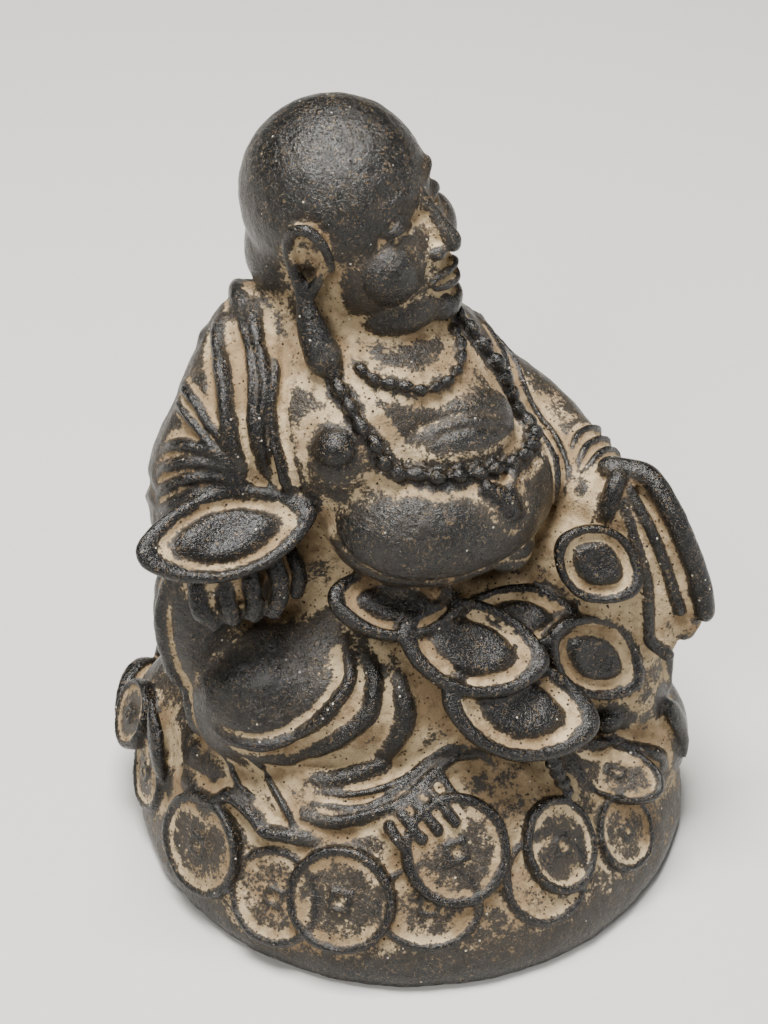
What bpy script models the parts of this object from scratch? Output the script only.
"""A seated laughing-monk figurine on a mound of coins and ingots, cast in one piece.

Metres, +Z up. The figure faces -Y, so its right side is -X. The origin is the centre of the
round foot, on the surface it stands on. Places on the free form are shares of the figure's
height, written as hundredths of it; the mound's foot, the coins and the beads have their own sizes.
"""

import math

import bmesh
import bpy
import numpy as np
from mathutils import Euler, Matrix, Vector
from mathutils.bvhtree import BVHTree

HEIGHT = 0.140
FOOT_RADIUS = 0.0525
COIN_DIAMETER = 0.0205
COIN_THICKNESS = 0.0030
BEAD_DIAMETER = 0.0026
CLAY_GRAIN = 0.0011
CAST_GRAIN = 0.0006
MOST_TRIANGLES = 9600

HUNDREDTH = HEIGHT / 100

# Foot radius shares, heights in hundredths and how far each ring's centre sits towards the back
MOUND_RINGS = ((0.9, -3, 0), (0.985, 0, 0), (1.0, 2, 0), (0.97, 6, 0.5), (0.93, 10, 1.5), (0.9, 14, 3), (0.82, 19, 4), (0.66, 24, 5))

pieces = []


def at(x, y, z):
    """A place in hundredths of the figure's height."""
    return np.array((x, y, z), float) * HUNDREDTH


def add(points, faces):
    pieces.append((np.asarray(points, float), faces))


def ball(centre, radii, turn=(0, 0, 0)):
    """An ellipsoid of clay: centre and radii in hundredths, turn in degrees."""
    around, down = 28, 14
    spin = np.array(Euler([math.radians(a) for a in turn]).to_matrix())
    points = [(0, 0, 1)]
    for ring in range(1, down):
        tilt = math.pi * ring / down
        for step in range(around):
            turned = 2 * math.pi * step / around
            points.append((math.sin(tilt) * math.cos(turned), math.sin(tilt) * math.sin(turned), math.cos(tilt)))
    points.append((0, 0, -1))
    points = (np.array(points) * radii) @ spin.T * HUNDREDTH + at(*centre)
    add(points, capped_rings(down - 1, around))


def capped_rings(rings, around):
    """Faces of a closed tube: a first point, rings of points, and a last point."""
    faces = []
    last = rings * around + 1
    for step in range(around):
        after = (step + 1) % around
        faces.append((0, 1 + step, 1 + after))
        faces.append((last, last - around + after, last - around + step))
        for ring in range(rings - 1):
            low = 1 + ring * around
            faces.append((low + step, low + around + step, low + around + after, low + after))
    return faces


def smooth_line(stations, steps=6):
    """Points of a Catmull-Rom line through the stations."""
    p = np.array(stations, float)
    p = np.vstack([2 * p[0] - p[1], p, 2 * p[-1] - p[-2]])
    line = []
    for i in range(1, len(p) - 2):
        for t in np.arange(steps) / steps:
            line.append(0.5 * (2 * p[i] + (p[i + 1] - p[i - 1]) * t
                               + (2 * p[i - 1] - 5 * p[i] + 4 * p[i + 1] - p[i + 2]) * t * t
                               + (3 * p[i] - p[i - 1] - 3 * p[i + 1] + p[i + 2]) * t ** 3))
    line.append(p[-2])
    return np.array(line)


def sweep(centres, widths, heights, ups, around=14):
    """A round-ended rope with an elliptical section, everything in metres."""
    centres, widths, heights, ups = [np.asarray(v, float) for v in (centres, widths, heights, ups)]
    along = np.gradient(centres, axis=0)
    along /= np.linalg.norm(along, axis=1)[:, None] + 1e-12
    ups = ups - (ups * along).sum(1)[:, None] * along
    ups /= np.linalg.norm(ups, axis=1)[:, None] + 1e-12
    sides = np.cross(along, ups)
    rings = []
    for share in (-0.97, -0.85, -0.55):
        rings.append((0, share))
    rings += [(i, 0) for i in range(len(centres))]
    for share in (0.55, 0.85, 0.97):
        rings.append((len(centres) - 1, share))
    turned = np.arange(around) * 2 * math.pi / around
    points = [centres[0] - along[0] * min(widths[0], heights[0])]
    for i, share in rings:
        shrink = math.sqrt(1 - share * share)
        middle = centres[i] + along[i] * share * min(widths[i], heights[i])
        for a in turned:
            points.append(middle + shrink * (sides[i] * widths[i] * math.cos(a) + ups[i] * heights[i] * math.sin(a)))
    points.append(centres[-1] + along[-1] * min(widths[-1], heights[-1]))
    add(points, capped_rings(len(rings), around))


def limb(*stations):
    """A smooth round taper through (x, y, z, radius) stations."""
    line = smooth_line(stations)
    size = line[:, 3] * HUNDREDTH
    up = np.tile((0.13, 0.31, 0.94), (len(line), 1))
    sweep(line[:, :3] * HUNDREDTH, size, size, up)


def mound():
    around = 64
    points = [at(0, MOUND_RINGS[-1][2], MOUND_RINGS[-1][1])]
    for share, height, back in reversed(MOUND_RINGS):
        for step in range(around):
            a = 2 * math.pi * step / around
            points.append(at(0, back, height) + np.array((math.cos(a), math.sin(a), 0)) * share * FOOT_RADIUS)
    points.append(at(0, 0, MOUND_RINGS[0][1]))
    add(points, capped_rings(len(MOUND_RINGS), around))


def body():
    mound()
    foot = FOOT_RADIUS / HUNDREDTH
    for degrees, out in ((-39.5, 0.69), (139, 0.69), (45, 0.67)):
        a = math.radians(degrees)
        ball((out * foot * math.cos(a), out * foot * math.sin(a), 11.5), (foot * 0.33, foot * 0.33, 10.5))
    # seat and lap
    ball((0, 6, 28), (28, 24, 14))
    ball((1, -5, 29), (18, 17, 12), (36, 0, 0))
    ball((9, -10, 30), (9, 13, 9), (36, 0, 0))
    # right leg, folded flat
    limb((-12, 14, 30, 11), (-20, 4, 27, 11.5))
    limb((-20, 2, 23, 7), (-10, -12, 18, 5))
    # left leg, knee raised
    limb((8, 4, 36, 11), (20, -13, 41, 8))
    limb((20, -13, 41, 8), (19, -17, 20, 9))
    # trunk, with the robe over both shoulders
    ball((0, 14, 46), (24, 16, 24))
    ball((0, 8.5, 60.5), (18.5, 15.5, 15))
    ball((1.8, -2.5, 57), (15.8, 13, 11))
    ball((-9, -0.5, 62.5), (7.5, 6, 6))
    ball((7, -4.5, 62.5), (8, 6.5, 5.5))
    ball((2, 1.5, 43.5), (14, 9.5, 5))
    limb((-9, 18, 68, 8.5), (-15, 15, 62, 9))
    limb((7, 17, 67, 7.5), (11, 9.5, 61, 8.8))
    # arms
    limb((-15, 14, 64, 8.5), (-21.5, 14, 52, 8.5), (-23, 4, 44, 5.5))
    limb((13, 12, 58, 8), (21, 3, 49.5, 7.5), (21, -13, 48, 5))
    # neck and skull
    limb((0, 14, 68, 10), (0, 15, 80, 9))
    ball((0, 16, 88.3), (11.8, 12.2, 11.9))


# Families of folds that lie on the body: how many, half width, half height, the first line and the
# last. The folds between them are spaced evenly from one to the other.
FOLDS = (
    # robe over the right shoulder, and its sleeve's fan
    (5, 0.8, 0.95, ((-12, 14, 74), (-16, 7.5, 69), (-16.5, 4.5, 63), (-15.5, 3, 56)),
     ((-17, 20, 71), (-22, 11, 68), (-22, 8, 63), (-21, 6.5, 59.5))),
    (6, 0.6, 0.9, ((-22, 18, 67), (-23, 12, 66), (-21.5, 7, 60)), ((-29.5, 15, 52), (-28, 12, 56), (-20.5, 6.5, 57.5))),
    # robe over the left shoulder, and its sleeve
    (2, 0.65, 1, ((11.5, 6.5, 72.5), (14, 4.5, 69.5), (16, 3, 66), (18, -0.5, 57.5), (18, -7.5, 53), (16, -10, 50.5)),
     ((12, 8, 73.5), (15.5, 5.5, 69.5), (18, 3.5, 64.5), (19.5, -0.5, 56.5), (19, -8.5, 53), (17.5, -10.5, 51.5))),
    (3, 0.65, 0.85, ((22, -6, 54), (26, -4, 53), (26, -1, 50)), ((19.5, -10, 53), (25, -9.5, 53.5), (27.5, -9, 49))),
    # breast
    (2, 0.55, 0.65, ((-4.5, -3, 65.5), (3, -4.5, 65.5), (7.5, -9.5, 63)), ((-3.5, -6, 65), (3.5, -9, 64.5), (5.5, -11, 62.5))),
    # cloth round the right knee
    (3, 0.75, 0.85, ((-15, -4.5, 38), (-16, -8.5, 35.5), (-20.5, -9.5, 30.5), (-25, -6, 27), (-30, -1, 27)),
     ((-12, -10, 38), (-13, -16, 32.5), (-15, -15, 25), (-19, -13, 22.5), (-24.5, -6, 23))),
    (1, 0.6, 0.7, ((-23.5, -10.5, 21.5), (-18.5, -15.5, 21.5), (-13, -16.5, 24), (-9.5, -21, 29.5)), ()),
    (2, 0.5, 0.85, ((-29.5, 1, 21.5), (-29.5, -2, 19.5), (-29, -5.5, 19)), ((-29, -3, 25), (-27, -6.5, 20.5), (-27.5, -12.5, 17.5))),
    # hem of the robe, over the right foot and on the left
    (1, 0.8, 1.5, ((-31.5, 7, 17), (-32, 3, 16.5), (-31.5, -0.5, 17), (-29.5, -6, 18), (-29.5, -10.5, 16), (-26, -14, 17.5)), ()),
    (1, 0.75, 1.5, ((-25.5, -10, 20), (-24, -13, 20), (-19.5, -17, 20.5), (-13, -18, 23), (-9.5, -21, 28.5), (-5, -23, 25)), ()),
    (1, 0.8, 1.5, ((9, -23, 20.5), (11.5, -25, 18), (15.5, -26.5, 15), (19, -28, 14.5), (20.5, -27.5, 16), (18, -25.5, 18)), ()),
    # tassel under the lap
    (2, 0.9, 1.6, ((3, -24.5, 23.5), (5.5, -25, 20), (5, -26.5, 19)), ((2, -25, 20), (3.5, -26.5, 19), (2, -27, 18))),
    # collar behind the neck, then plainer folds down the back, the left sleeve and the left shin
    (1, 0.9, 1, ((-12.5, 18, 75), (-8, 25, 73), (0, 27.5, 72), (8, 25, 72), (12.5, 16, 74)), ()),
    (7, 0.9, 0.8, ((-9.5, 28, 67), (-15, 32, 50), (-20, 31, 32)), ((9.5, 28, 67), (15, 32, 50), (20, 31, 32))),
    (5, 0.8, 0.8, ((15, 22, 60), (27, 13, 50), (30, 3, 42)), ((19, 14, 56), (28, -1, 46), (30, -9, 42))),
    (3, 0.9, 0.9, ((24, -19, 40), (26, -22, 30), (26, -24, 22)), ((28, -11, 40), (29, -12, 30), (26, -14, 22))),
)

# Families of fingers and toes that stand free of the body, as x, y, z and radius
DIGITS = (
    # left hand over the raised knee: thumb, then three fingers
    (1, ((21, -16.5, 55, 1.9), (20, -15, 53, 1.5), (18.5, -15.5, 51, 1.3), (17.5, -16, 49, 1.1)), ()),
    (2, ((20.5, -14.5, 53, 2.2), (25.5, -19.5, 51, 1.4), (27.5, -23, 42, 1.3), (28, -26, 34.5, 0.9)),
     ((20.5, -15.5, 51.5, 2), (23.5, -19, 48.5, 1.3), (25, -22.5, 41.5, 1.2), (25, -24.5, 35.5, 0.9))),
    (1, ((19.5, -15.5, 50, 1.5), (22.5, -19.5, 43.5, 1.2), (22, -21, 35.5, 1.1), (24, -22.5, 28.5, 1.2)), ()),
    # right hand under its ingot: four fingers, then the thumb
    (4, ((-29, 8.5, 48, 1.7), (-30, 7, 45, 1.8), (-28.5, 5, 43, 1.5)),
     ((-21, 2.5, 48.5, 1.7), (-22, 0, 45.5, 1.8), (-22.5, -0.5, 43.5, 1.5))),
    (1, ((-16.5, 4, 47.5, 1.5), (-17, 2.5, 44, 1.5), (-16.5, 3, 41, 1.3)), ()),
    # right foot, and its five toes
    (1, ((-5, -12, 23, 4), (-9.5, -17.5, 22.5, 4), (-13, -20.5, 20.5, 3)), ()),
    (5, ((-17, -18, 21, 1), (-18.8, -21, 21, 1), (-19, -23.3, 19.3, 1)),
     ((-9, -19, 23.5, 1.1), (-10.5, -22, 23, 1.1), (-10.5, -25, 21.5, 1.1))),
)

# The lines that the beads hang along
LONG_BEADS = ((-9, 5, 71.5), (-8.5, -1, 65.5), (-8, -6.5, 63.5), (-3.5, -11.5, 62.5), (3, -12, 61), (8.5, -9.5, 58.5),
              (11.5, -7.5, 58.5), (13, -6, 60.5), (13.5, -3.5, 63), (12.5, 1.5, 68.5), (10, 5.5, 72.5))
SHORT_BEADS = ((-7, 3.5, 72), (-4, 0.5, 69.5), (3, -1, 68), (8, 1, 69), (8.5, 5, 72.5))

# Coins on the front of the mound: degrees round it from +X, height, and diameter as a share of the full size
COINS = ((148, 15, 0.66), (158, 10, 0.72), (182, 10.5, 0.9), (200, 8.5, 0.74), (217, 11, 1), (237, 8, 0.9),
         (245, 15, 1), (264, 8, 0.9), (270, 13, 0.8), (289, 10, 0.8), (293, 15, 0.8), (312, 15, 0.66))

# Ingots: the middle of the rim, from it to one end, and from it to one side
INGOTS = (
    ((14, -19.5, 46), (3.5, -3.5, -3.5), (-2.5, -2.5, -3.5)),
    ((4.5, -15, 38.5), (7.5, -3, -1.5), (-2.5, -3, -2)),
    ((13, -22, 31.5), (5, -3, -5), (-2.5, -4, -3.5)),
    ((-1, -23, 32), (8, -5, -4), (-4.5, -3.5, -3)),
    ((-3.5, -16.5, 39), (7.5, -5, -3), (-3.5, -4, -3)),
    ((-9.5, -8.5, 44), (7, -4, -1.5), (-2.5, -3.5, -2)),
    ((-24, 6.5, 52.5), (11, -3.5, 0.5), (-2, -6.5, -0.5)),
)

# Share of the half length and height above the rim plane, from keel over the rim to the middle
INGOT_PROFILE = ((0.3, -3.6), (0.62, -3), (0.86, -1.6), (0.98, -0.3), (1, 0.4), (0.93, 0.85), (0.84, 0.55),
                 (0.74, -0.1), (0.62, -0.3), (0.54, 0), (0.47, 0.6), (0.32, 1), (0.14, 1.2))
COIN_PROFILE = ((0.5, -1.2), (0.9, -1.2), (1, -0.6), (1, 0.55), (0.93, 0.8), (0.83, 0.7), (0.76, 0.25), (0.5, 0.2),
                (0.34, 0.25), (0.3, 0.6), (0.2, 0.6), (0.16, 0.2))


def turned_form(centre, along, across, profile, steps=32, pinch=0.0, curl=0.0):
    """A dish or disc: the profile carried round an ellipse, everything in hundredths."""
    centre, along, across = [np.array(v, float) for v in (centre, along, across)]
    normal = np.cross(along, across)
    normal /= np.linalg.norm(normal)
    if normal[2] < 0 and pinch:
        normal = -normal
    points = [centre + normal * profile[0][1]]
    for share, height in profile:
        for step in range(steps):
            a = 2 * math.pi * step / steps
            side = math.sin(a) * (1 - pinch * math.cos(a) ** 2)
            lift = height + curl * share * math.cos(a) ** 4
            points.append(centre + share * (along * math.cos(a) + across * side) + normal * lift)
    points.append(centre + normal * profile[-1][1])
    add(np.array(points) * HUNDREDTH, capped_rings(len(profile), steps))


def ingot(centre, along, across):
    turned_form(centre, along, across, INGOT_PROFILE, 40, 0.2, 0.7)


def frame_on(normal):
    """Two directions square to the normal and to each other."""
    first = np.cross(normal, (0, 0, 1))
    first /= np.linalg.norm(first)
    return first, np.cross(normal, first)


def coin(place, normal, share):
    first, second = frame_on(np.array(normal))
    radius = share * COIN_DIAMETER / 2 / HUNDREDTH
    lift = COIN_THICKNESS / 2 / HUNDREDTH
    profile = [(s, h * lift) for s, h in COIN_PROFILE]
    middle = np.array(place) + np.array(normal) * lift * 0.45
    turned_form(middle, first * radius, second * radius, profile)


def draped(tree, line):
    """The line laid on the body, with the body's outward direction at each point."""
    places, ups = [], []
    for point in line:
        found, up, _, _ = tree.find_nearest(Vector(point * HUNDREDTH))
        places.append(found)
        ups.append(up)
    return np.array(places), np.array(ups)


def family(count, first, last):
    """Evenly spaced lines from the first to the last."""
    first = np.array(first, float)
    if count == 1:
        return [first]
    return [first + (np.array(last) - first) * step / (count - 1) for step in range(count)]


def fold(tree, width, height, stations):
    line = smooth_line(stations)
    places, ups = draped(tree, line)
    share = np.clip(np.minimum(np.arange(len(line)), np.arange(len(line))[::-1]) / 4, 0, 1)
    taper = 0.45 + 0.55 * share
    sweep(places, width * HUNDREDTH * taper, height * HUNDREDTH * taper, ups)


def beads(tree, stations, diameter):
    line, ups = draped(tree, smooth_line(stations, 24))
    gone = np.concatenate([[0], np.cumsum(np.linalg.norm(np.diff(line, axis=0), axis=1))])
    radius = diameter / 2
    for distance in np.arange(radius, gone[-1], diameter * 0.96):
        i = min(int(np.searchsorted(gone, distance)), len(line) - 1)
        ball((line[i] + ups[i] * radius * 0.7) / HUNDREDTH, (radius / HUNDREDTH,) * 3)


def coin_on_mound(tree, degrees, height, share):
    """A coin on the skin where a level ray from outside meets it."""
    a = math.radians(degrees)
    out = Vector((math.cos(a), math.sin(a), 0))
    start = Vector(at(0, 2, height)) + out * FOOT_RADIUS * 2
    found, up, _, _ = tree.ray_cast(start, -out)
    coin(np.array(found) / HUNDREDTH, up, share)


def carving(tree):
    for count, width, height, first, last in FOLDS:
        for stations in family(count, first, last):
            fold(tree, width, height, stations)
    for count, first, last in DIGITS:
        for stations in family(count, first, last):
            limb(*stations)
    beads(tree, LONG_BEADS, BEAD_DIAMETER)
    beads(tree, SHORT_BEADS, BEAD_DIAMETER * 0.9)
    for degrees, height, share in COINS:
        coin_on_mound(tree, degrees, height, share)
    for step in range(11):
        coin_on_mound(tree, -36 + step * 17, 9 + 6 * (step % 2), 0.78 + 0.08 * (step % 3))
    for centre, along, across in INGOTS:
        ingot(centre, along, across)


HEAD_TURN = Matrix.Rotation(math.radians(28), 3, "Z") @ Matrix.Rotation(math.radians(-8), 3, "X")
HEAD_CENTRE = (0, 16, 88.3)


def in_head(x, forward, z):
    """Head-centred hundredths (its left, out of the face, up) as body hundredths."""
    return np.array(HEAD_TURN @ Vector((x, -forward, z))) + HEAD_CENTRE


def head_ball(place, radii):
    x, forward, up = radii
    ball(in_head(*place), (x, forward, up), [math.degrees(a) for a in HEAD_TURN.to_euler()])


def head_limb(*stations):
    limb(*[(*in_head(x, forward, z), radius) for x, forward, z, radius in stations])


def head():
    head_ball((0, 2.5, -6.5), (10.2, 9.6, 10.5))
    head_ball((0, 4, -13.5), (8.8, 6.6, 4.8))
    head_ball((0, 9.8, -11.8), (3.2, 2.4, 2.2))
    head_limb((0, 11.4, 0.2, 0.9), (0, 12.5, -2.4, 1.1), (0, 13.3, -4.4, 1.5))
    head_limb((-2.6, 11, -9, 0.5), (0, 11.9, -9.5, 0.8), (2.6, 11, -9, 0.5))
    for side in (-1, 1):
        head_ball((side * 5.4, 7.6, -5.4), (4.4, 3.9, 4.2))
        head_ball((side * 4.1, 10, -1.2), (2.3, 1.4, 1.2))
        head_ball((side * 1.7, 12, -4.8), (1.2, 1.2, 1))
        head_limb((side * 1.5, 11.7, 0.8, 0.5), (side * 4.5, 11, 2, 0.8), (side * 7.8, 8.9, 1.2, 0.5))
        head_limb((0, 12.2, -7.8, 0.6), (side * 1.6, 11.9, -7.9, 0.65), (side * 3.9, 10.5, -7.2, 0.4))
        # ear: rim, inner fold and long lobe
        head_limb((side * 11.2, 5, -3.5, 0.8), (side * 12.2, 5.4, 0, 0.9), (side * 12.6, 3.6, 2.4, 1),
                  (side * 12.6, 0.8, 1.8, 1), (side * 12.2, -0.6, -1.5, 1), (side * 11.9, -0.3, -6, 1))
        head_limb((side * 11.6, 4.4, -3, 0.8), (side * 12, 3, -5.2, 0.9), (side * 12, 1.5, -7, 1.2))
        head_limb((side * 12, 0.4, -5.5, 1), (side * 11.9, 1, -8.5, 1.5), (side * 11.6, 2.2, -12.5, 1.9),
                  (side * 11.4, 3.2, -15.2, 2.1))


def object_of(name):
    """Everything added so far as one mesh object."""
    points, faces, base = [], [], 0
    for some, sides in pieces:
        points.append(some)
        faces += [tuple(base + i for i in side) for side in sides]
        base += len(some)
    pieces.clear()
    mesh = bpy.data.meshes.new(name)
    mesh.from_pydata(np.vstack(points).tolist(), [], faces)
    made = bpy.data.objects.new(name, mesh)
    bpy.context.scene.collection.objects.link(made)
    return made


def fused(made, grain, softening):
    """The object's pieces as one skin of even grain, and softened."""
    remesh = made.modifiers.new("fuse", "REMESH")
    remesh.mode = "VOXEL"
    remesh.voxel_size = grain
    smooth = made.modifiers.new("soften", "SMOOTH")
    smooth.iterations = softening
    graph = bpy.context.evaluated_depsgraph_get()
    skin = bpy.data.meshes.new_from_object(made.evaluated_get(graph))
    made.modifiers.clear()
    made.data = skin
    return made


for old in list(bpy.data.objects):
    bpy.data.objects.remove(old, do_unlink=True)
body()
clay = fused(object_of("clay"), CLAY_GRAIN, 10)
body_tree = BVHTree.FromObject(clay, bpy.context.evaluated_depsgraph_get())
pieces.append(([v.co[:] for v in clay.data.vertices], [tuple(f.vertices) for f in clay.data.polygons]))
bpy.data.objects.remove(clay, do_unlink=True)
carving(body_tree)
head()
cast = fused(object_of("budai_figure"), CAST_GRAIN, 2)
thin = cast.modifiers.new("thin", "DECIMATE")
thin.ratio = MOST_TRIANGLES / sum(len(f.vertices) - 2 for f in cast.data.polygons)
graph = bpy.context.evaluated_depsgraph_get()
skin = bmesh.new()
skin.from_mesh(bpy.data.meshes.new_from_object(cast.evaluated_get(graph)))
cast.modifiers.clear()
cut = bmesh.ops.bisect_plane(skin, geom=skin.verts[:] + skin.edges[:] + skin.faces[:], dist=1e-6, plane_co=(0, 0, 0),
                             plane_no=(0, 0, -1), clear_outer=True)
bmesh.ops.contextual_create(skin, geom=[e for e in cut["geom_cut"] if isinstance(e, bmesh.types.BMEdge)])
bmesh.ops.triangulate(skin, faces=[f for f in skin.faces if len(f.verts) > 3])
bmesh.ops.recalc_face_normals(skin, faces=skin.faces[:])
for face in skin.faces:
    face.smooth = True
skin.to_mesh(cast.data)
skin.free()
cast.data.name = "budai_figure"

stone = bpy.data.materials.new("waxed cast stone")
stone.use_nodes = True
shader = stone.node_tree.nodes["Principled BSDF"]
shader.inputs["Base Color"].default_value = (0.075, 0.068, 0.058, 1)
shader.inputs["Roughness"].default_value = 0.55
cast.data.materials.append(stone)
